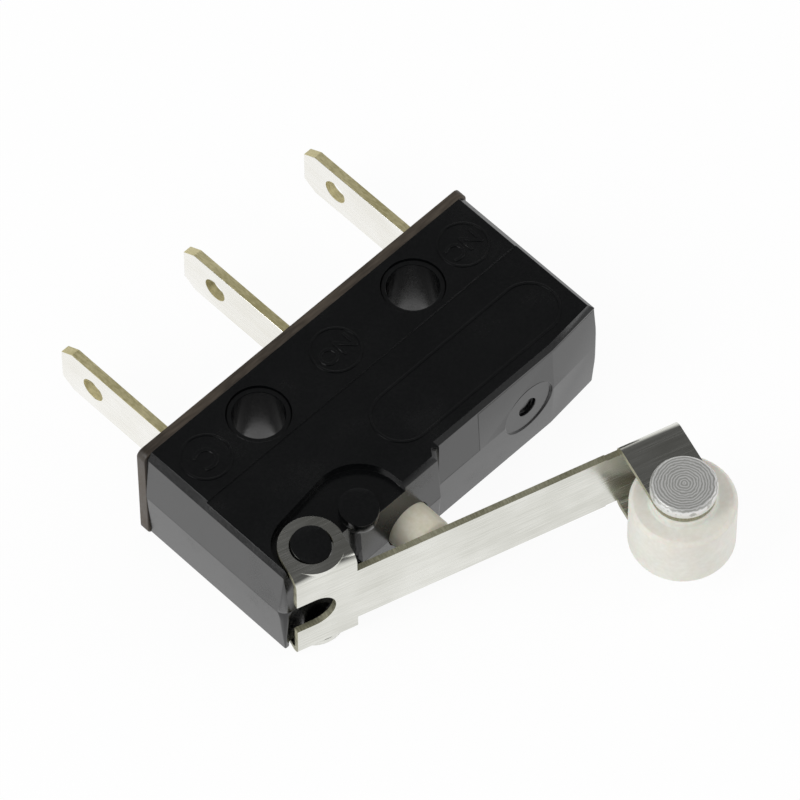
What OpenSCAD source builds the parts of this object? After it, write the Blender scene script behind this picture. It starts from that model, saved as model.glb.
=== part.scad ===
// Subminiature snap-action switch with a roller lever and tab terminals.
// Frame: the centre of the mounting hole nearest the common end, on the back face.
// +X runs along the row of terminals, +Y towards the terminals, +Z through the thickness.

/* [Housing] */
// Length of the housing along the row of terminals
housing_len = 19.8; // [19.4:0.1:22]
// Thickness of the housing between its broad faces
housing_thick = 6.4; // [6.2:0.1:7.4]
// From the line of mounting holes to the outer face of the terminal strip
strip_reach = 2.36; // [2.3:0.02:3]
// From the line of mounting holes to the raised wall round the plunger
wall_reach = 7.24; // [7.1:0.02:8]
// How far the wall beside the lever pivot lies below the raised wall
pivot_drop = 0.4; // [0.3:0.05:0.55]
// How far the long wall past the plunger lies below the raised wall
long_drop = 0.5; // [0.4:0.05:0.6]
// Thickness of the side walls
wall = 0.7; // [0.6:0.05:0.8]
// Thickness of the two broad walls
face_t = 0.8; // [0.7:0.05:0.9]
// Lean of each side wall between the joint line and a broad face
draft = 0.15; // [0.05:0.01:0.2]
// Bevel round the broad faces
bevel = 0.3; // [0.15:0.05:0.35]
// Step in the front face between its terminal zone and the rest
face_step = 0.08; // [0.04:0.01:0.12]

/* [Mounting holes] */
// Bore of each mounting hole
hole_d = 2.4; // [2:0.05:2.5]
// From each mounting hole to the nearer end of the housing
hole_inset = 5.15; // [5:0.05:5.3]
// Wall of the tube round each hole inside the housing
tube_wall = 0.5; // [0.35:0.05:0.55]

/* [Terminals] */
// Width of a tab
tab_w = 2.8; // [2.4:0.1:3]
// Thickness of a tab
tab_t = 0.45; // [0.35:0.05:0.5]
// Length of a tab outside the strip
tab_len = 7.2; // [5:0.1:9]
// Hole near the tip of a tab
tab_hole_d = 1.2; // [0.8:0.05:1.5]
// From each outer terminal to the nearer end of the housing
tab_inset = 2.4; // [2.3:0.05:2.5]
// Thickness of the strip that carries the terminals
strip_t = 0.5; // [0.4:0.05:0.6]

/* [Lever] */
// Sheet thickness of the lever
lever_t = 0.3; // [0.2:0.02:0.34]
// Angle of the free lever from the housing
lever_angle = 17.2; // [16:0.1:18]
// Width of the lever between pivot and fork
lever_w = 3.84; // [3.2:0.02:4.2]
// Distance from the lever's pivot to the roller along the lever
lever_reach = 15.87; // [12:0.01:18]
// Distance of the roller's pin from the pivot across the lever
roller_offset = 4.64; // [4.4:0.02:5.4]
// Distance from the pivot to the inner face of the lever plate
plate_offset = 1.2; // [1.15:0.01:1.3]
// Diameter of the pivot bosses
boss_d = 1.8; // [1.5:0.05:1.9]
// Depth of the pockets that take the lever's ears
pocket_depth = 0.55; // [0.45:0.05:0.65]

/* [Roller] */
// Diameter of the roller
roller_d = 4.8; // [4:0.1:5.2]
// Width of the roller's tread
roller_w = 3.2; // [2.4:0.1:3.4]
// Diameter of the roller's pin
pin_d = 1.5; // [1.2:0.05:1.8]
// Diameter of the pin's head
pin_head_d = 3; // [2.4:0.1:3.4]

/* [Plunger] */
// Diameter of the plunger
plunger_d = 2.3; // [1.8:0.05:2.4]
// Position of the plunger along the housing
plunger_x = 2.05; // [1.9:0.05:2.2]
// Radius of the plunger's round end
plunger_tip_r = 1.6; // [1.4:0.05:2]

/* [Snap mechanism] */
// Sheet thickness of the contact arm
arm_t = 0.25; // [0.2:0.01:0.3]
// Width of the contact arm
arm_w = 2.4; // [2.1:0.05:2.6]
// Gap that the moving contact crosses
contact_gap = 0.56; // [0.4:0.02:0.6]
// Diameter of the contact rivets' heads
contact_d = 1.7; // [1.3:0.05:1.9]
// Outer diameter of the coil spring
spring_d = 1; // [0.8:0.02:1.05]
// Wire of the coil spring
spring_wire = 0.15; // [0.1:0.01:0.18]
// Turns of the coil spring
spring_turns = 12; // [6:1:16]

/* [Hidden] */
$fn = 64;

slack = 0.02;                         // seating gap between fixed pieces
run = 0.05;                           // running clearance of moving pieces
eps = 0.01;
big = 30;

mid = housing_thick / 2;              // joint line and middle plane of everything that moves
hole_spacing = housing_len - 2 * hole_inset;
end_c = -hole_inset;
end_nc = hole_spacing + hole_inset;
seam_y = strip_reach - strip_t;       // where the housing meets the strip
x_c = end_c + tab_inset;
x_no = hole_spacing / 2;
x_nc = end_nc - tab_inset;

raised_y = -wall_reach;
pivot_y = -(wall_reach - pivot_drop);
long_y = -(wall_reach - long_drop);
nc_y = long_y + 0.28;                 // the wall falls away towards the last corner
raised_left = plunger_x - 2.8;
raised_right = plunger_x + 2;
step_run = 0.38;                      // slope at the end of the raised wall
fall_x = end_nc - 3.05;
corner_r = 0.5;

boss_1 = [end_c + 2.15, raised_y + 0.89];
boss_2 = [boss_1[0] + 2.8, raised_y + 0.79];
pocket_r1 = 1.75;
pocket_r2 = 2.2;
pocket_z = housing_thick - pocket_depth;

tube_r = hole_d / 2 + tube_wall;
spigot_r = hole_d / 2 + 0.25;
hole_x = [0, hole_spacing];

joint_step_x = plunger_x + 4.9;       // past here the base wall rises to the bevel
joint_high = housing_thick - bevel - 0.1;

cave_y = long_y + wall + 0.1;         // inner face of the long wall
cave_raised_y = raised_y + 0.8;       // inner face of the raised wall
deep_z = pocket_depth + 0.65;         // inner face under the pockets

function ease(a, b, k) = a + (b - a) * k;

// ---- housing ------------------------------------------------------------------------------

function corner_arc(cx, cy, r, a0, a1) = [for (a = [a0:15:a1]) [cx + r * cos(a), cy + r * sin(a)]];

outline = concat(
    [[end_c, seam_y]],
    corner_arc(end_c + corner_r, pivot_y + corner_r, corner_r, 180, 270),
    [[raised_left, pivot_y],
     [raised_left, raised_y],
     [raised_right, raised_y],
     [raised_right + step_run, long_y],
     [fall_x, long_y],
     [end_nc - 0.15, nc_y],
     [end_nc, nc_y + 0.15],
     [end_nc, seam_y]]);

// Straight walls that lean and carry the bevel: start, end, overrun at each
walls = [
    [[end_c, seam_y], [end_c, pivot_y], 1, 1],
    [[end_c, pivot_y], [raised_left, pivot_y], 1, 0],
    [[raised_left, raised_y], [raised_right, raised_y], 1, 1],
    [[raised_right, raised_y], [raised_right + step_run, long_y], 1, 0],
    [[raised_right + step_run, long_y], [fall_x, long_y], 0, 1],
    [[fall_x, long_y], [end_nc - 0.15, nc_y], 1, 1],
    [[end_nc, nc_y], [end_nc, seam_y], 1, 1]];

// What a leaning, bevelled wall leaves off, along one side of the outline
module wall_waste(w) {
    d = w[1] - w[0];
    len = norm(d);
    low = draft + bevel * 0.6;
    high = draft + bevel;
    translate([w[0][0], w[0][1], 0])
        rotate([0, 0, atan2(d[1], d[0])])
            translate([-w[2], 0, 0])
                rotate([90, 0, 90])
                    linear_extrude(len + w[2] + w[3])
                        polygon([[-2, housing_thick + 1], [high, housing_thick + 1],
                                 [high, housing_thick], [draft, housing_thick - bevel],
                                 [0, mid], [draft, bevel * 0.6], [low, 0], [low, -1], [-2, -1]]);
}

// Trims the leaning, bevelled walls of what it is given
module lean_walls() {
    difference() {
        children();
        for (w = walls)
            wall_waste(w);
    }
}

module housing_plan() {
    linear_extrude(housing_thick)
        polygon(outline);
}

// The joint between the two halves runs at mid height, and steps up past the plunger
module joint_region(points) {
    translate([0, big, 0])
        rotate([90, 0, 0])
            linear_extrude(big * 2)
                polygon(points);
}

joint_line = [[-big, mid], [joint_step_x, mid], [joint_step_x, joint_high], [big, joint_high]];

module lower_half() {
    lean_walls()
        intersection() {
            housing_plan();
            joint_region(concat(joint_line, [[big, -1], [-big, -1]]));
        }
}

module upper_half() {
    lean_walls()
        intersection() {
            housing_plan();
            joint_region(concat(joint_line, [[big, big], [-big, big]]));
        }
}

module cave_outline(gap) {
    polygon([[end_c + wall + gap, seam_y + 1],
             [end_c + wall + gap, cave_y + gap],
             [plunger_x - plunger_d, cave_y + gap],
             [plunger_x - plunger_d, cave_raised_y + gap],
             [raised_right - gap, cave_raised_y + gap],
             [raised_right - gap, cave_y + gap],
             [end_nc - wall - gap, cave_y + gap],
             [end_nc - wall - gap, seam_y + 1]]);
}

// Room inside the housing, shallower under the ear pockets
module cave() {
    difference() {
        translate([0, 0, face_t])
            linear_extrude(housing_thick - 2 * face_t)
                cave_outline(0);
        for (z = [0, housing_thick - deep_z])
            translate([end_c, -big - 3.7, z])
                cube([raised_right - end_c, big, deep_z]);
    }
}

function tangent_normal(a, b, ra, rb) =
    let (d = b - a, k = atan2(d[1], d[0]) + 90 + asin((rb - ra) / norm(d))) [cos(k), sin(k)];

// Ear pocket seen from the front, open towards the lever
module pocket_2d() {
    n = tangent_normal(boss_1, boss_2, pocket_r1, pocket_r2);
    translate(boss_1)
        circle(pocket_r1);
    translate(boss_2)
        circle(pocket_r2);
    polygon([boss_1 + pocket_r1 * n,
             boss_2 + pocket_r2 * n,
             [boss_2[0] + pocket_r2, boss_2[1]],
             [boss_2[0] + pocket_r2, raised_y - 2],
             [boss_1[0] - pocket_r1, raised_y - 2],
             [boss_1[0] - pocket_r1, boss_1[1]]]);
}

// Pivot boss whose front slopes so that a lever's ear can be sprung over it
module pivot_boss(at) {
    difference() {
        translate([at[0], at[1], pocket_z - 0.3])
            cylinder(d = boss_d, h = pocket_depth + 0.3);
        translate([at[0] - boss_d, 0, 0])
            rotate([90, 0, 90])
                linear_extrude(2 * boss_d)
                    polygon([[at[1] + 0.27, housing_thick], [at[1] - boss_d, housing_thick - 0.6],
                             [at[1] - boss_d, housing_thick + 1], [at[1] + 0.27, housing_thick + 1]]);
    }
}

module front_pocket_cut() {
    translate([0, 0, pocket_z])
        linear_extrude(pocket_depth + 1)
            pocket_2d();
}

module flip() {
    translate([0, 0, housing_thick])
        mirror([0, 0, 1])
            children();
}

// Round bore for the plunger through the raised wall
module plunger_bore() {
    translate([plunger_x, raised_y - 1, mid])
        rotate([-90, 0, 0])
            cylinder(d = plunger_d + 2 * run, h = 3);
}

module gate_dish() {
    translate([plunger_x + 8, long_y - 1, mid])
        rotate([-90, 0, 0]) {
            cylinder(r = 1.45, h = 1.12);
            cylinder(r = 0.5, h = 1.3);
        }
}

// Room that the tall wall of the base leaves open for the lid
module lid_room() {
    intersection() {
        translate([0, 0, mid])
            linear_extrude(big)
                cave_outline(0);
        translate([joint_step_x, -big, 0])
            cube([big, 2 * big, big]);
    }
}

module housing_base() {
    color([0.09, 0.09, 0.1])
        difference() {
            union() {
                difference() {
                    lower_half();
                    cave();
                    lid_room();
                    flip()
                        front_pocket_cut();
                    plunger_bore();
                    gate_dish();
                }
                for (x = hole_x)
                    translate([x, 0, face_t / 2]) {
                        cylinder(r = tube_r, h = housing_thick - face_t * 1.5 - slack);
                        cylinder(r = spigot_r, h = housing_thick - face_t / 2 - 0.1);
                    }
                for (b = [boss_1, boss_2])
                    flip()
                        pivot_boss(b);
            }
            for (x = hole_x)
                translate([x, 0, -1])
                    cylinder(d = hole_d, h = housing_thick + 2);
        }
}

module terminal_zone_step() {
    translate([end_c - 1, raised_y - 1, housing_thick - face_step])
        cube([housing_len + 2, wall_reach + 1 - 1.66, 1]);
}

module housing_cover() {
    color([0.09, 0.09, 0.1]) {
        difference() {
            union() {
                upper_half();
                // the lid's own edge, let into the tall wall of the base
                translate([joint_step_x + slack, 0, housing_thick - face_t])
                    intersection() {
                        linear_extrude(face_t - bevel)
                            translate([-joint_step_x - slack, 0])
                                cave_outline(slack);
                        translate([0, -big / 2, 0])
                            cube([big, big / 2 + seam_y, face_t]);
                    }
            }
            cave();
            front_pocket_cut();
            plunger_bore();
            terminal_zone_step();
            for (x = hole_x)
                translate([x, 0, 0])
                    cylinder(r = spigot_r + slack, h = housing_thick + 1);
        }
        for (b = [boss_1, boss_2])
            pivot_boss(b);
    }
}

// ---- terminals ----------------------------------------------------------------------------

strip_h = housing_thick - 0.1;
block_y = 0.6;                        // how deep the strip's blocks reach into the housing
block_w = [2, 2.4, 1.9];
block_z = 4.2;
tab_x = [x_c, x_no, x_nc];
inner_w = 2;                          // width of the terminals inside the housing

module strip_slot(x) {
    translate([x - tab_t / 2 - slack, block_y - 1, mid - tab_w / 2 - slack])
        cube([tab_t + 2 * slack, strip_reach - block_y + 2, tab_w + 2 * slack]);
}

module terminal_strip() {
    color([0.22, 0.18, 0.15])
        difference() {
            union() {
                translate([0, strip_reach, 0])
                    rotate([90, 0, 0])
                        linear_extrude(strip_t)
                            translate([end_c, mid - strip_h / 2])
                                rounded_plate(housing_len, strip_h, 0.35);
                for (i = [0:2])
                    translate([tab_x[i] - block_w[i] / 2, block_y, mid - block_z / 2])
                        cube([block_w[i], seam_y - block_y + eps, block_z]);
            }
            for (x = tab_x)
                strip_slot(x);
        }
}

module rounded_plate(w, h, r) {
    translate([r, 0])
        square([w - 2 * r, h]);
    translate([0, r])
        square([w, h - 2 * r]);
    for (x = [r, w - r])
        for (y = [r, h - r])
            translate([x, y])
                circle(r, $fn = 32);
}

// Flat tab outside the strip: its outline in Y and Z, with a chamfered tip and a hole
module tab(x) {
    tip = strip_reach + tab_len;
    hole_y = tip - 2;
    translate([x + tab_t / 2, 0, mid])
        rotate([0, -90, 0])
            linear_extrude(tab_t)
                difference() {
                    polygon([[-tab_w / 2, block_y], [-tab_w / 2, tip - 0.7],
                             [-tab_w / 2 + 0.45, tip], [tab_w / 2 - 0.45, tip],
                             [tab_w / 2, tip - 0.7], [tab_w / 2, block_y]]);
                    translate([0, hole_y])
                        circle(d = tab_hole_d);
                }
}

// A leg of the terminal inside the housing, from the strip towards the lever
module leg(x, to_y) {
    translate([x - tab_t / 2, to_y, mid - inner_w / 2])
        cube([tab_t, block_y - to_y, inner_w]);
}

// A shelf that carries a fixed contact, from x0 to x1 with its outer face at y
module shelf(x0, x1, y) {
    translate([x0, y, mid - inner_w / 2])
        cube([x1 - x0, tab_t, inner_w]);
}

module contact_hole(x, y) {
    translate([x, y - 1, mid])
        rotate([-90, 0, 0])
            cylinder(d = shank_d + 2 * slack, h = 2);
}

shank_d = 0.7;
head_t = 0.45;
contact_x = x_nc - 1.35;              // where the contacts meet
nc_shelf_y = cave_y + 0.24;           // lever side of the normally closed shelf
nc_face_y = nc_shelf_y + tab_t + head_t;
arm_half = arm_t / 2 + head_t;        // from the arm's middle to a contact face
no_face_y = nc_face_y + 2 * arm_half + contact_gap + slack;
no_shelf_y = no_face_y + head_t;

module common_terminal() {
    color([0.75, 0.74, 0.68]) {
        tab(x_c);
        leg(x_c, -1.2);
    }
}

module no_terminal() {
    color([0.75, 0.74, 0.68])
        difference() {
            union() {
                tab(x_no);
                leg(x_no, no_shelf_y);
                shelf(x_no - tab_t / 2, contact_x + 0.6, no_shelf_y);
            }
            contact_hole(contact_x, no_shelf_y);
        }
}

module nc_terminal() {
    color([0.75, 0.74, 0.68])
        difference() {
            union() {
                tab(x_nc);
                leg(x_nc, nc_shelf_y);
                shelf(contact_x - 0.7, x_nc + tab_t / 2, nc_shelf_y);
            }
            contact_hole(contact_x, nc_shelf_y);
        }
}

// Contact rivet: a domed head facing the moving contact, a shank and a staked foot
module fixed_contact() {
    rotate_extrude()
        polygon([[0, 0], [contact_d / 2, 0], [contact_d / 2, head_t - 0.12],
                 [contact_d / 2 - 0.2, head_t], [0, head_t]]);
    translate([0, 0, -tab_t - 0.12])
        cylinder(d = shank_d, h = tab_t + 0.13);
    translate([0, 0, -tab_t - 0.14])
        cylinder(d = shank_d + 0.4, h = 0.14);
}

module no_contact() {
    color([0.8, 0.8, 0.8])
        translate([contact_x, no_shelf_y, mid])
            rotate([90, 0, 0])
                fixed_contact();
}

module nc_contact() {
    color([0.8, 0.8, 0.8])
        translate([contact_x, nc_shelf_y + tab_t, mid])
            rotate([-90, 0, 0])
                fixed_contact();
}

// ---- snap mechanism -----------------------------------------------------------------------

bracket_t = 0.4;
bracket_x = x_c - tab_t / 2;          // face of the bracket that carries the arm
bracket_w = 3;
edge_y = -3.75;                       // knife edge of the contact arm
edge = [bracket_x - 0.02, edge_y];
link_y = cave_y + 0.74;               // where the spring lever rocks in the bracket
link = [bracket_x - bracket_t / 2, link_y];
link_t = 0.25;
link_w = 0.9;

arm_end = x_nc - tab_t / 2 - 0.37;
arm_rest_y = nc_face_y + slack + arm_half;
arm_tilt = atan2(arm_rest_y - edge[1], contact_x - edge[0]);
arm_span = arm_end - edge[0];
window_x0 = 2.4;                      // window of the arm, from its knife edge
window_x1 = arm_span - 2.65;
window_w = 1.4;
ring_r = 0.3;                         // end loops of the spring
ring_hole = 0.36;

module pivot_bracket() {
    color([0.7, 0.66, 0.5])
        difference() {
            translate([bracket_x - bracket_t, link_y - 0.6, mid - bracket_w / 2])
                cube([bracket_t, block_y - 0.2 - (link_y - 0.6), bracket_w]);
            // seat of the arm's knife edge
            translate([bracket_x, edge_y, mid - bracket_w / 2 - 1])
                linear_extrude(bracket_w + 2)
                    polygon([[0.1, 0.3], [-0.2, 0], [0.1, -0.3]]);
            // window of the spring lever
            translate([bracket_x - bracket_t - 1, link_y - 0.33, mid - link_w / 2 - 0.1])
                cube([bracket_t + 2, 0.66, link_w + 0.2]);
        }
}

// The arm lies along +X from its knife edge, and is tilted into place
module arm_place() {
    translate([edge[0], edge[1], mid])
        rotate([0, 0, arm_tilt])
            children();
}

module contact_arm() {
    color([0.72, 0.6, 0.35])
        arm_place()
            difference() {
                union() {
                    translate([0.15, arm_t / 2, 0])
                        rotate([90, 0, 0])
                            linear_extrude(arm_t)
                                difference() {
                                    translate([0, -arm_w / 2])
                                        square([arm_span - 0.15, arm_w]);
                                    translate([window_x0, -window_w / 2])
                                        square([window_x1 - window_x0, window_w]);
                                    translate([window_x1 + 0.42, 0])
                                        circle(d = ring_hole);
                                }
                    translate([0, 0, -arm_w / 2])
                        linear_extrude(arm_w)
                            polygon([[-0.1, 0], [0.2, arm_t / 2], [0.2, -arm_t / 2]]);
                }
                translate([(contact_x - edge[0]) / cos(arm_tilt), -1, 0])
                    rotate([-90, 0, 0])
                        cylinder(d = shank_d + 2 * slack, h = 2);
            }
}

module moving_contact() {
    color([0.8, 0.8, 0.8])
        arm_place()
            translate([(contact_x - edge[0]) / cos(arm_tilt), 0, 0])
                rotate([90, 0, 0])
                    for (s = [0, 1])
                        mirror([0, 0, s])
                            rotate_extrude()
                                polygon([[0, 0], [shank_d / 2, 0], [shank_d / 2, arm_t / 2],
                                         [contact_d / 2 - 0.05, arm_t / 2],
                                         [contact_d / 2 - 0.05, arm_half - 0.12],
                                         [contact_d / 2 - 0.25, arm_half], [0, arm_half]]);
}

flange_t = 0.5;                       // collar that keeps the plunger in
nose_r = 0.45;
nose_len = 0.4;                       // how far the nose stands in from the collar
nose_y = cave_raised_y + slack + flange_t + nose_len; // inner end of the plunger at rest
link_bend = plunger_x + 0.8;
link_tip = link_bend + 1.45;
link_drop = 0.3;                      // how far the lever's tip bends towards the arm

// Rocking lever between plunger and spring: a T-head behind the bracket, a strip under the
// plunger and a hooked tip
module spring_lever() {
    top = nose_y + slack;
    color([0.72, 0.74, 0.76])
        difference() {
            union() {
                translate([0, 0, mid - link_w / 2])
                    linear_extrude(link_w)
                        polygon([[link[0] - bracket_t / 2 - 0.3, link[1] - link_t / 2],
                                 [link[0] + 0.6, link[1] - link_t / 2],
                                 [link[0] + 1.2, top],
                                 [link_bend, top],
                                 [link_tip - 0.7, top + link_drop],
                                 [link_tip, top + link_drop],
                                 [link_tip, top + link_drop + link_t],
                                 [link_tip - 0.75, top + link_drop + link_t],
                                 [link_bend - 0.05, top + link_t],
                                 [link[0] + 1.15, top + link_t],
                                 [link[0] + 0.55, link[1] + link_t / 2],
                                 [link[0] - bracket_t / 2 - 0.3, link[1] + link_t / 2]]);
                translate([link[0] - bracket_t / 2 - 0.3, link[1] - link_t / 2, mid - 1])
                    cube([0.25, link_t, 2]);
            }
            translate([link_tip - 0.45, top + link_drop - 1, mid])
                rotate([-90, 0, 0])
                    cylinder(d = ring_hole, h = 3);
        }
}

// Spring: loops round the lever's tip and the far bar of the arm's window, coil between
loop_a = [link_tip - 0.17, nose_y + slack + link_drop + link_t / 2];
loop_b = edge + (window_x1 + 0.13) * [cos(arm_tilt), sin(arm_tilt)];
spring_len = norm(loop_b - loop_a);
spring_rad = (spring_d - spring_wire) / 2;
coil_start = ring_r + 0.28;
coil_end = spring_len - coil_start;

function loop_points(cx, from, to) = [for (k = [0:11]) let (a = ease(from, to, k / 12))
    [cx + ring_r * cos(a), ring_r * sin(a), 0]];

function lead(k) = let (a = 180 * k) [ease(ring_r, coil_start, k), spring_rad * sin(90 * k) * sin(a),
    spring_rad * sin(90 * k) * cos(a)];

function coil(k) = let (a = 180 + 360 * spring_turns * k)
    [ease(coil_start, coil_end, k), spring_rad * sin(a), spring_rad * cos(a)];

coil_steps = spring_turns * 12;
half_path = concat(loop_points(0, 40, 360), [for (k = [0:5]) lead(k / 6)]);
spring_path = concat(
    half_path,
    [for (k = [0:coil_steps]) coil(k / coil_steps)],
    [for (i = [len(half_path) - 1:-1:0])
        [spring_len - half_path[i][0], -half_path[i][1], half_path[i][2]]]);

function unit(v) = v / norm(v);
function heading(path, i) = unit(path[min(i + 1, len(path) - 1)] - path[max(i - 1, 0)]);
function level(v, t) = unit(v - (v * t) * t);

// Round wire along a path: each ring's direction follows from the one before
module wire(path, r, sides) {
    n = len(path);
    start = level([0, 0, 1], heading(path, 0));
    normals = [for (i = 0, v = start; i < n; i = i + 1, v = level(v, heading(path, min(i, n - 1)))) v];
    points = [for (i = [0:n - 1]) let (t = heading(path, i), u = normals[i], w = cross(t, u))
        for (k = [0:sides - 1]) path[i] + r * (cos(360 * k / sides) * u + sin(360 * k / sides) * w)];
    sides_faces = [for (i = [0:n - 2]) for (k = [0:sides - 1]) let (k2 = (k + 1) % sides)
        for (f = [[i * sides + k, (i + 1) * sides + k, (i + 1) * sides + k2],
                  [i * sides + k, (i + 1) * sides + k2, i * sides + k2]]) f];
    ends = [[for (k = [0:sides - 1]) k], [for (k = [sides - 1:-1:0]) (n - 1) * sides + k]];
    polyhedron(points, concat(sides_faces, ends), convexity = 8);
}

module coil_spring() {
    d = loop_b - loop_a;
    color([0.75, 0.76, 0.78])
        translate([loop_a[0], loop_a[1], mid])
            rotate([0, 0, atan2(d[1], d[0])])
                wire(spring_path, spring_wire / 2, 6);
}

// ---- plunger ------------------------------------------------------------------------------

// Distance from the hole line to the centre of the plunger's round end, which rests on the
// inner face of the free lever
tip_rise = (plunger_x - boss_1[0]) * sin(-lever_angle) - (plate_offset - plunger_tip_r);
tip_y = boss_1[1] + tip_rise / cos(lever_angle) + 0.03;

module plunger() {
    color([0.86, 0.84, 0.74])
        translate([plunger_x, 0, mid])
            rotate([-90, 0, 0]) {
                intersection() {
                    translate([0, 0, tip_y - plunger_tip_r - 1])
                        cylinder(d = plunger_d, h = cave_raised_y + 0.3 - (tip_y - plunger_tip_r - 1));
                    union() {
                        translate([0, 0, tip_y])
                            sphere(plunger_tip_r);
                        translate([0, 0, tip_y])
                            cylinder(r = plunger_d, h = big);
                    }
                }
                translate([0, 0, cave_raised_y + slack])
                    cylinder(d = plunger_d + 2 * nose_r, h = flange_t);
                translate([0, 0, nose_y - nose_r - 0.1])
                    cylinder(r = nose_r, h = 0.1);
                translate([0, 0, nose_y - nose_r])
                    sphere(nose_r);
            }
}

// ---- lever and roller ---------------------------------------------------------------------

ear_r = 1.48;
bend_r = 0.5;                         // outside radius of the folds
ear_z = pocket_z - mid + run;         // inner face of a pivot ear from the middle plane
fork_half = lever_w / 2 + 0.43;       // outer face of a fork ear from the middle plane
fork_w = 1.45;
ear_hole_d = boss_d + 0.15;

// Lever frame: origin at the pivot, +X along the lever, -Y outwards
module lever_place() {
    translate([boss_1[0], boss_1[1], mid])
        rotate([0, 0, -lever_angle])
            children();
}

// Quarter of a folded edge along X, its hollow side towards the middle plane and the side
// that dir points to
module fold(x0, x1, half, dir) {
    inner_r = bend_r - lever_t;
    y = dir > 0 ? -plate_offset - lever_t + bend_r : -plate_offset - bend_r;
    translate([x0, y, half - bend_r])
        rotate([90, 0, 90])
            linear_extrude(x1 - x0)
                difference() {
                    intersection() {
                        circle(bend_r);
                        translate([dir > 0 ? -bend_r : 0, 0])
                            square(bend_r);
                    }
                    circle(inner_r);
                }
}

// Half of the lever's flat plate, as an outline in X and Z
module plate_half() {
    half = lever_w / 2;
    wide = ear_z + lever_t - bend_r;
    fork = fork_half - bend_r;
    slot = 1.02;
    difference() {
        union() {
            translate([-ear_r, 0])
                square([2 * ear_r, wide]);
            translate([0, 0])
                square([lever_reach + fork_w, fork]);
            translate([0, 0])
                square([lever_reach - fork_w - 0.65, half]);
        }
        translate([-ear_r - 1, -slot])
            square([1 + ear_r - 0.6, 2 * slot]);
        translate([-0.6, 0])
            circle(slot, $fn = 32);
    }
}

module roller_lever() {
    color([0.8, 0.81, 0.78])
        lever_place()
            for (s = [0, 1])
                mirror([0, 0, s])
                    lever_half();
}

module lever_half() {
    pin = [lever_reach, -roller_offset];
    translate([0, -plate_offset, 0])
        rotate([90, 0, 0])
            linear_extrude(lever_t)
                plate_half();
    // pivot ear
    fold(-ear_r, ear_r, ear_z + lever_t, 1);
    translate([0, 0, ear_z])
        linear_extrude(lever_t)
            difference() {
                union() {
                    circle(ear_r);
                    translate([-ear_r, -plate_offset - lever_t + bend_r])
                        square([2 * ear_r, plate_offset + lever_t - bend_r]);
                }
                circle(d = ear_hole_d);
            }
    // fork ear
    fold(lever_reach - fork_w, lever_reach + fork_w, fork_half, -1);
    translate([0, 0, fork_half - lever_t])
        linear_extrude(lever_t)
            difference() {
                union() {
                    translate(pin)
                        circle(fork_w);
                    translate([lever_reach - fork_w, -roller_offset])
                        square([2 * fork_w, roller_offset - plate_offset - bend_r]);
                }
                translate(pin)
                    circle(d = pin_d + 2 * slack);
            }
}

module at_roller() {
    lever_place()
        translate([lever_reach, -roller_offset, 0])
            children();
}

module roller_pin() {
    color([0.62, 0.62, 0.6])
        at_roller() {
            translate([0, 0, -fork_half - 0.1])
                cylinder(d = pin_d, h = 2 * fork_half + 0.2);
            translate([0, 0, fork_half])
                rotate_extrude()
                    polygon([[0, 0], [pin_head_d / 2, 0], [pin_head_d / 2, 0.42],
                             [pin_head_d / 2 - 0.12, 0.55], [0, 0.55]]);
            translate([0, 0, -fork_half])
                rotate_extrude()
                    polygon([[0, 0], [pin_d / 2 + 0.45, 0], [pin_d / 2 + 0.3, -0.3], [0, -0.35]]);
        }
}

module roller() {
    r = roller_d / 2;
    h = roller_w / 2;
    soft = 0.22;
    hub = fork_half - lever_t - run;
    bore = pin_d / 2 + run;
    color([0.87, 0.87, 0.83])
        at_roller()
            rotate_extrude()
                polygon([[bore, -hub], [bore + 0.7, -hub], [bore + 0.7, -h], [r - soft, -h],
                         [r - soft * 0.3, -h + soft * 0.3], [r, -h + soft],
                         [r, h - soft], [r - soft * 0.3, h - soft * 0.3], [r - soft, h],
                         [bore + 0.7, h], [bore + 0.7, hub], [bore, hub]]);
}

housing_base();
housing_cover();
terminal_strip();
common_terminal();
no_terminal();
nc_terminal();
pivot_bracket();
no_contact();
nc_contact();
contact_arm();
moving_contact();
spring_lever();
coil_spring();
plunger();
roller_lever();
roller_pin();
roller();
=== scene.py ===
import math

import bmesh
import bpy
from mathutils import Matrix, Vector


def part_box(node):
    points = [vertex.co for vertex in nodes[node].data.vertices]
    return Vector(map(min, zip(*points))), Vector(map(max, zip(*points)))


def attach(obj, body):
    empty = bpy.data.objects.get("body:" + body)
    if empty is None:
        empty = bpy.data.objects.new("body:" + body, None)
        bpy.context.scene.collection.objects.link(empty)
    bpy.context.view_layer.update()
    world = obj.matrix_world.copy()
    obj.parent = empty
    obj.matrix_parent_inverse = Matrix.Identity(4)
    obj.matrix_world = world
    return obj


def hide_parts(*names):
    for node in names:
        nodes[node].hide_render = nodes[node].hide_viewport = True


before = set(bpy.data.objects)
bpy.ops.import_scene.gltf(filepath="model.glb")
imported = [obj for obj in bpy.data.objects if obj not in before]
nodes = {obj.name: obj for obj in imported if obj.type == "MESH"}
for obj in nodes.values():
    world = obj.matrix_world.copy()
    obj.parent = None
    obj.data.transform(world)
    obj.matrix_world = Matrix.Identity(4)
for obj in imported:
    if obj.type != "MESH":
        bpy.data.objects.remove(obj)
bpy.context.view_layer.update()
MM = 0.001

# ---- camera -------------------------------------------------------------------------------

CAMERA_AZIMUTH, CAMERA_ELEVATION, CAMERA_ROLL = -44.313, 57.476, -0.376
CAMERA_DISTANCE = 361.6 * MM
CAMERA_TARGET = Vector((6.404, -2.292, 3.0)) * MM
CAMERA_LENS = 367.6


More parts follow.
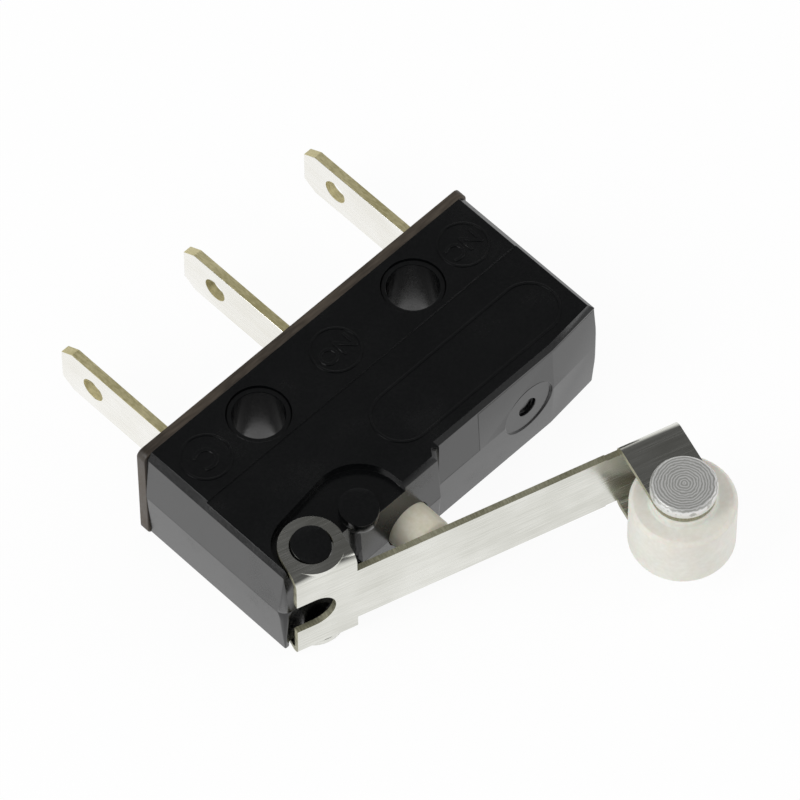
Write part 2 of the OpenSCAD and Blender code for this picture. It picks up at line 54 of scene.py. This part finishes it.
def add_camera():
    az, el = math.radians(CAMERA_AZIMUTH), math.radians(CAMERA_ELEVATION)
    back = Vector((math.sin(az) * math.cos(el), -math.cos(az) * math.cos(el), math.sin(el)))
    turn = (-back).to_track_quat("-Z", "Y").to_matrix()
    turn = turn @ Matrix.Rotation(math.radians(CAMERA_ROLL), 3, "Z")
    data = bpy.data.cameras.new("camera")
    data.lens = CAMERA_LENS
    data.clip_start, data.clip_end = 10 * MM, 5000 * MM
    camera = bpy.data.objects.new("camera", data)
    bpy.context.scene.collection.objects.link(camera)
    camera.matrix_world = Matrix.Translation(CAMERA_TARGET + back * CAMERA_DISTANCE) @ turn.to_4x4()
    bpy.context.scene.camera = camera


add_camera()

# ---- places, in millimetres ---------------------------------------------------------------

pin_low, pin_high = (Vector(corner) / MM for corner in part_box("roller_pin"))
pin_centre = (pin_low + pin_high) / 2
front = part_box("housing_cover")[1][2] / MM  # broad face that carries the marks
LEVER_TURN = -17.2                    # degrees, the free lever's slope
LEVER_SHEET, TAB_SHEET = 0.3, 0.45    # thicknesses
FACE_STEP = 0.08                      # how far the broad face drops past its terminal zone

# ---- materials ----------------------------------------------------------------------------


def linear(hex_colour):
    """sRGB hex to linear RGBA."""
    out = []
    for i in (0, 2, 4):
        c = int(hex_colour[i : i + 2], 16) / 255
        out.append(c / 12.92 if c <= 0.04045 else ((c + 0.055) / 1.055) ** 2.4)
    return (*out, 1.0)


def new_material(name):
    material = bpy.data.materials.new(name)
    material.use_nodes = True
    tree = material.node_tree
    tree.nodes.clear()
    return material, tree


def node(tree, kind, settings=None, inputs=None, links=None):
    """Adds one node with its settings, socket values, and links from other nodes' outputs."""
    n = tree.nodes.new(kind)
    for key, value in (settings or {}).items():
        setattr(n, key, value)
    for key, value in (inputs or {}).items():
        n.inputs[key].default_value = value
    for key, (source, output) in (links or {}).items():
        tree.links.new(source.outputs[output], n.inputs[key])
    return n


RINGS_PER_UNIT = 20 / (2 * math.pi)   # of the wave texture at scale 1


def surface(name, tones, rough, grain, relief, blotch=3.0, worn=0.12, turn=0.0, rings=None, shader=None):
    """A finish whose tone drifts in blotches and whose gloss and relief follow its grain.

    Sizes are in millimetres: grain along X, Y and Z of the turned pattern, blotch across,
    relief high. The real grain is a few hundredths wide, and is drawn two to four times as
    coarse so that it shows. Rings are turning marks: their centre and their pitch.
    """
    material, tree = new_material(name)
    place = node(tree, "ShaderNodeTexCoord")
    fine = node(tree, "ShaderNodeMapping", {"vector_type": "TEXTURE"},
                {"Rotation": (0, 0, math.radians(turn)), "Scale": Vector(grain) * MM},
                {"Vector": (place, "Object")})
    broad = node(tree, "ShaderNodeMapping", {"vector_type": "TEXTURE"},
                 {"Scale": Vector((blotch, blotch, blotch)) * MM}, {"Vector": (place, "Object")})
    grains = node(tree, "ShaderNodeTexNoise", None, {"Scale": 1.0, "Detail": 3.0}, {"Vector": (fine, 0)})
    patches = node(tree, "ShaderNodeTexNoise", None, {"Scale": 1.0, "Detail": 2.0}, {"Vector": (broad, 0)})
    pattern = grains
    if rings:
        size = rings[1] * RINGS_PER_UNIT
        spun = node(tree, "ShaderNodeMapping", {"vector_type": "TEXTURE"},
                    {"Location": Vector(rings[0]) * MM, "Scale": Vector((size, size, size)) * MM},
                    {"Vector": (place, "Object")})
        pattern = node(tree, "ShaderNodeTexWave", {"wave_type": "RINGS", "rings_direction": "Z"},
                       {"Scale": 1.0, "Distortion": 5.0, "Detail": 3.0, "Detail Scale": 1.2},
                       {"Vector": (spun, 0)})
    drift = node(tree, "ShaderNodeMath", {"operation": "ADD"}, None, {0: (pattern, "Fac"), 1: (patches, 0)})
    tone = node(tree, "ShaderNodeMapRange", None, {"From Min": 0.75, "From Max": 1.25}, {0: (drift, 0)})
    colour = node(tree, "ShaderNodeMix", {"data_type": "RGBA"},
                  {6: linear(tones[0]), 7: linear(tones[1])}, {0: (tone, 0)})
    gloss = node(tree, "ShaderNodeMapRange", None,
                 {"From Min": 0.3, "From Max": 0.7, "To Min": rough[0], "To Max": rough[1]},
                 {0: (grains, 0)})
    # handling dulls the patches where the broad noise is highest
    wear = node(tree, "ShaderNodeMapRange", None,
                {"From Min": 0.55, "From Max": 0.75, "To Max": worn}, {0: (patches, 0)})
    roughness = node(tree, "ShaderNodeMath", {"operation": "ADD"}, None, {0: (gloss, 0), 1: (wear, 0)})
    bump = node(tree, "ShaderNodeBump", None, {"Strength": 1.0, "Distance": relief * MM},
                {"Height": (pattern, "Fac")})
    body = node(tree, "ShaderNodeBsdfPrincipled", None, shader,
                {"Base Color": (colour, 2), "Roughness": (roughness, 0), "Normal": (bump, 0)})
    node(tree, "ShaderNodeOutputMaterial", links={"Surface": (body, 0)})
    return material


# Glass-filled nylon, moulded black in a polished tool: near mirror gloss, faint flow blotches
housing_black = surface("moulded_black_nylon", ("050607", "0b0c0d"), (0.15, 0.24), (0.12, 0.12, 0.12),
                        0.001, shader={"IOR": 1.55, "Specular IOR Level": 0.52})
# Phenolic board, pressed and sawn: brown-black, dull, with fibres along the strip
strip_brown = surface("phenolic_board", ("30281f", "4a4034"), (0.42, 0.6), (0.9, 0.12, 0.12), 0.01,
                      shader={"IOR": 1.6})
# Brass sheet, bright tin plated: nearly white, rolled along the tab
tab_tin = surface("bright_tin_plate", ("eceae2", "f8f7f3"), (0.18, 0.32), (0.09, 2.4, 0.09), 0.0008,
                  shader={"Metallic": 1.0})
# The same sheet where it was sheared after plating: yellow-olive torn brass
tab_edge = surface("sheared_brass", ("bbb283", "e0d7ac"), (0.4, 0.6), (0.06, 0.25, 0.25), 0.006,
                   shader={"Metallic": 0.55})
# Stainless spring strip, rolled: grain lines run along the lever
lever_strip = surface("rolled_stainless_strip", ("cfcfc7", "e6e6e0"), (0.14, 0.28), (2.5, 0.06, 0.06),
                      0.0014, turn=LEVER_TURN, shader={"Metallic": 1.0})
# Its blanked edges: darker, olive, torn across the thickness
lever_edge = surface("blanked_stainless_edge", ("8a8870", "b8b69e"), (0.35, 0.55), (0.06, 0.3, 0.3),
                     0.006, turn=LEVER_TURN, shader={"Metallic": 0.6})
# Free-cutting steel, turned and nickel plated: grey with rings round its head, and so rough that
# it scatters as much as it mirrors
pin_turned = surface("turned_steel", ("bdbdb9", "ececea"), (0.4, 0.55), (0.1, 0.1, 0.1), 0.004,
                     rings=(pin_centre, 0.13), shader={"Metallic": 0.65})
# Nylon, moulded natural: off-white, and light goes a little way in
roller_nylon = surface("natural_nylon", ("e2e0d6", "ebeae2"), (0.36, 0.5), (0.25, 0.25, 0.25), 0.002,
                       shader={"IOR": 1.53, "Subsurface Weight": 0.25, "Subsurface Scale": 0.6 * MM})
# Acetal, turned: warm ivory with a waxy gloss
plunger_acetal = surface("ivory_acetal", ("dcd6bf", "e8e3d2"), (0.38, 0.52), (0.2, 0.2, 0.2), 0.002,
                         shader={"IOR": 1.48, "Subsurface Weight": 0.15, "Subsurface Scale": 0.4 * MM})
# Brass strip, stamped: yellow, lightly tarnished
bracket_brass = surface("stamped_brass", ("a5955a", "c9bb7c"), (0.22, 0.4), (0.08, 1.5, 0.08), 0.002,
                        shader={"Metallic": 1.0})
# Phosphor bronze spring sheet, rolled: reddish brown
arm_bronze = surface("phosphor_bronze", ("9c6f45", "bd8c5d"), (0.2, 0.36), (2.0, 0.06, 0.06), 0.002,
                     shader={"Metallic": 1.0})
# Fine silver, cold headed: white with a soft bloom
contact_silver = surface("fine_silver", ("d5d4d0", "eeeeec"), (0.2, 0.36), (0.1, 0.1, 0.1), 0.002,
                         shader={"Metallic": 1.0})
# Carbon spring steel, hardened: grey-blue
spring_steel = surface("spring_steel", ("8b9095", "b0b5b9"), (0.22, 0.36), (0.5, 0.05, 0.05), 0.002,
                       shader={"Metallic": 1.0})

INSIDE = {
    "pivot_bracket": bracket_brass, "no_contact": contact_silver, "nc_contact": contact_silver,
    "contact_arm": arm_bronze, "moving_contact": contact_silver, "spring_lever": spring_steel,
    "coil_spring": spring_steel,
}

# ---- pieces ------------------------------------------------------------------------------


def only(obj):
    bpy.ops.object.select_all(action="DESELECT")
    obj.select_set(True)
    bpy.context.view_layer.objects.active = obj


BROAD = 2.0                           # square millimetres, larger than any facet of a curve
SAME_LENGTH = 0.004
MERGE = 0.0005                        # corners nearer than this are one
FLAT = 0.5                            # degrees, triangles turned less than this are one face


def soften(obj, width, segments, angle, clamp=False):
    """Breaks the edges sharper than an angle by a bevel, and smooths the curves that are left.
    A clamped bevel stays as narrow as the shape's smallest faces need."""
    only(obj)
    broken = obj.modifiers.new("broken_edges", "BEVEL")
    broken.width, broken.segments = width * MM, segments
    broken.limit_method, broken.angle_limit = "ANGLE", math.radians(angle)
    broken.use_clamp_overlap = clamp
    bpy.ops.object.modifier_apply(modifier=broken.name)
    bpy.ops.object.shade_smooth_by_angle(angle=math.radians(angle))
    # two broad flats that meet at a slight angle keep a crease
    mesh = bmesh.new()
    mesh.from_mesh(obj.data)
    for edge in mesh.edges:
        flats = [face for face in edge.link_faces if face.calc_area() > BROAD * MM * MM]
        if len(flats) == 2 and flats[0].normal.angle(flats[1].normal, 0) > math.radians(1):
            edge.smooth = False
    mesh.to_mesh(obj.data)
    mesh.free()
    flat = obj.modifiers.new("flats_stay_flat", "WEIGHTED_NORMAL")
    flat.keep_sharp = True
    bpy.ops.object.modifier_apply(modifier=flat.name)


def dressed(name, body, finish, width, segments=2, angle=28, sheet=None, edge_finish=None,
            clamp=False):
    """A node's own shape with whole faces and broken edges. Faces with an edge as long as the
    sheet is thick are its cut edges."""
    piece = bpy.data.objects.new(name + "_finished", nodes[name].data.copy())
    bpy.context.scene.collection.objects.link(piece)
    only(piece)
    bpy.ops.object.mode_set(mode="EDIT")
    bpy.ops.mesh.select_all(action="SELECT")
    bpy.ops.mesh.remove_doubles(threshold=MERGE * MM)
    bpy.ops.mesh.dissolve_limited(angle_limit=math.radians(FLAT))
    bpy.ops.object.mode_set(mode="OBJECT")
    piece.data.materials.clear()
    piece.data.materials.append(finish)
    if sheet:
        piece.data.materials.append(edge_finish)
    corners = piece.data.vertices
    for face in piece.data.polygons:
        lengths = [(corners[a].co - corners[b].co).length / MM for a, b in face.edge_keys]
        cut = sheet and any(abs(length - sheet) < SAME_LENGTH for length in lengths)
        face.material_index = 1 if cut else 0
    soften(piece, width, segments, angle, clamp)
    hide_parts(name)
    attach(piece, body)


dressed("housing_base", "housing", housing_black, 0.05)
dressed("housing_cover", "housing", housing_black, 0.06, clamp=True)
dressed("terminal_strip", "housing", strip_brown, 0.04)
for terminal in ("common_terminal", "no_terminal", "nc_terminal"):
    dressed(terminal, "housing", tab_tin, 0.03, sheet=TAB_SHEET,
            edge_finish=tab_edge)
dressed("plunger", "plunger", plunger_acetal, 0.06)
dressed("roller_lever", "lever", lever_strip, 0.045, sheet=LEVER_SHEET,
        edge_finish=lever_edge, clamp=True)
dressed("roller_pin", "lever", pin_turned, 0.06, segments=3)
dressed("roller", "roller", roller_nylon, 0.12, segments=4)

for name, finish in INSIDE.items():
    nodes[name].data.materials.clear()
    nodes[name].data.materials.append(finish)

# ---- marks -------------------------------------------------------------------------------

MARK_RISE = 0.05                      # how far marks stand above the face
MARK_ROOT = 0.05                      # how far they are let into it
MARK_R = 1.2
RING_LINE, PANEL_LINE = 0.1, 0.12     # widths
LINE_BEVEL, LETTER_BEVEL = 0.02, 0.014
ONE_LETTER, TWO_LETTERS = 1.55, 1.22  # type sizes
TAB_MARKS = (("C", -3.18, ONE_LETTER), ("NO", 4.72, TWO_LETTERS), ("NC", 12.61, TWO_LETTERS))
PANEL_LOW, PANEL_HIGH = (3.0, -5.85), (13.75, -3.0)


def raised_line(name, centre, radius, line, face, stretch=0.0):
    """A raised line round a circle, or round a bar whose ends lie a stretch apart."""
    bpy.ops.object.select_all(action="DESELECT")
    bpy.ops.mesh.primitive_circle_add(vertices=96, radius=radius * MM, fill_type="NGON",
                                      location=Vector((*centre, face - MARK_ROOT)) * MM)
    ring = bpy.context.object
    ring.name = name
    bpy.ops.object.mode_set(mode="EDIT")
    if stretch:
        mesh = bmesh.from_edit_mesh(ring.data)
        for v in mesh.verts:
            v.select = v.co.x > 0
        mesh.select_flush_mode()
        bmesh.update_edit_mesh(ring.data)
        bpy.ops.transform.translate(value=(stretch * MM, 0, 0))
    bpy.ops.mesh.select_all(action="SELECT")
    bpy.ops.mesh.inset(thickness=line * MM)
    bpy.ops.mesh.delete(type="FACE")
    bpy.ops.object.mode_set(mode="OBJECT")
    thick = ring.modifiers.new("rise", "SOLIDIFY")
    thick.thickness, thick.offset = (MARK_ROOT + MARK_RISE) * MM, 1.0
    only(ring)
    bpy.ops.object.modifier_apply(modifier=thick.name)
    soften(ring, LINE_BEVEL, 2, 40)
    bpy.ops.object.transform_apply(location=True, rotation=True, scale=True)
    return ring


def raised_word(word, centre, size, face):
    """Letters that stand on the face, their tops towards the plunger."""
    bpy.ops.object.select_all(action="DESELECT")
    bpy.ops.object.text_add()
    text = bpy.context.object
    text.name = "letters_" + word
    text.data.body = word
    text.data.size = size * MM
    text.data.align_x, text.data.align_y = "CENTER", "CENTER"
    text.data.extrude = (MARK_ROOT + MARK_RISE) / 2 * MM - LETTER_BEVEL * MM
    text.data.bevel_depth = LETTER_BEVEL * MM
    only(text)
    bpy.ops.object.convert(target="MESH")
    text = bpy.context.object
    text.location = Vector((*centre, face + (MARK_RISE - MARK_ROOT) / 2)) * MM
    text.rotation_euler = (0, 0, math.pi)
    bpy.ops.object.transform_apply(location=True, rotation=True, scale=True)
    return text


def joined(name, parts):
    """One moulded mark of the parts, in the housing's finish."""
    bpy.ops.object.select_all(action="DESELECT")
    for part in parts:
        part.select_set(True)
    bpy.context.view_layer.objects.active = parts[0]
    bpy.ops.object.join()
    whole = bpy.context.object
    whole.name = name
    whole.data.materials.clear()
    whole.data.materials.append(housing_black)
    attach(whole, "housing")


for word, x, size in TAB_MARKS:
    joined("mark_" + word, [raised_line("ring_" + word, (x, 0), MARK_R, RING_LINE, front),
                            raised_word(word, (x, 0), size, front)])

panel_r = (PANEL_HIGH[1] - PANEL_LOW[1]) / 2
panel_end = (PANEL_LOW[0] + panel_r, PANEL_LOW[1] + panel_r)
joined("panel_line", [raised_line("panel_line", panel_end, panel_r, PANEL_LINE, front - FACE_STEP,
                                  stretch=PANEL_HIGH[0] - PANEL_LOW[0] - 2 * panel_r)])

# ---- stage --------------------------------------------------------------------------------


FLOOR_SIZE = 3000
FLOOR_GLOW = 0.94                     # share of plain white that the camera and gloss see


def add_floor():
    bpy.ops.object.select_all(action="DESELECT")
    bpy.ops.mesh.primitive_plane_add(size=FLOOR_SIZE * MM, location=(0, 0, 0))
    floor = bpy.context.object
    floor.name = "floor"
    material, tree = new_material("floor")
    paper = node(tree, "ShaderNodeBsdfDiffuse", inputs={"Color": linear("fafafa")})
    white = node(tree, "ShaderNodeEmission", inputs={"Strength": 1.0})
    path = node(tree, "ShaderNodeLightPath")
    seen = node(tree, "ShaderNodeMath", {"operation": "MAXIMUM"},
                links={0: (path, "Is Camera Ray"), 1: (path, "Is Glossy Ray")})
    part = node(tree, "ShaderNodeMath", {"operation": "MULTIPLY"}, {1: FLOOR_GLOW}, {0: (seen, 0)})
    mix = node(tree, "ShaderNodeMixShader", links={0: (part, 0), 1: (paper, 0), 2: (white, 0)})
    node(tree, "ShaderNodeOutputMaterial", links={"Surface": (mix, 0)})
    floor.data.materials.append(material)


def add_light(name, place, size, power, target=(5, -3, 3)):
    data = bpy.data.lights.new(name, "AREA")
    data.shape = "RECTANGLE"
    data.size, data.size_y = size[0] * MM, size[1] * MM
    data.energy = power
    light = bpy.data.objects.new(name, data)
    bpy.context.scene.collection.objects.link(light)
    place, target = Vector(place) * MM, Vector(target) * MM
    turn = (target - place).to_track_quat("-Z", "Y").to_matrix()
    light.matrix_world = Matrix.Translation(place) @ turn.to_4x4()


def add_world():
    """A room that is bright low down, with a dim ceiling for what gleams."""
    world = bpy.data.worlds.new("studio")
    bpy.context.scene.world = world
    world.use_nodes = True
    tree = world.node_tree
    tree.nodes.clear()
    place = node(tree, "ShaderNodeTexCoord")
    axes = node(tree, "ShaderNodeSeparateXYZ", links={0: (place, "Generated")})
    high = node(tree, "ShaderNodeMapRange", None, {"From Min": 0.15, "From Max": 0.6}, {0: (axes, "Z")})
    path = node(tree, "ShaderNodeLightPath")
    ceiling = node(tree, "ShaderNodeMix", {"data_type": "RGBA"},
                   {6: linear("d2d2d2"), 7: linear("5e5e5e")}, {0: (path, "Is Glossy Ray")})
    shade = node(tree, "ShaderNodeMix", {"data_type": "RGBA"},
                 {6: linear("f4f4f4")}, {0: (high, 0), 7: (ceiling, 2)})
    sky = node(tree, "ShaderNodeBackground", None, {"Strength": 0.9}, {"Color": (shade, 2)})
    node(tree, "ShaderNodeOutputWorld", links={"Surface": (sky, 0)})


add_floor()
add_light("softbox_left", (-250, 60, 260), (160, 220), 0.5)
add_light("softbox_right", (220, -200, 220), (160, 160), 0.15)
add_world()
bpy.context.scene.view_settings.view_transform = "Standard"
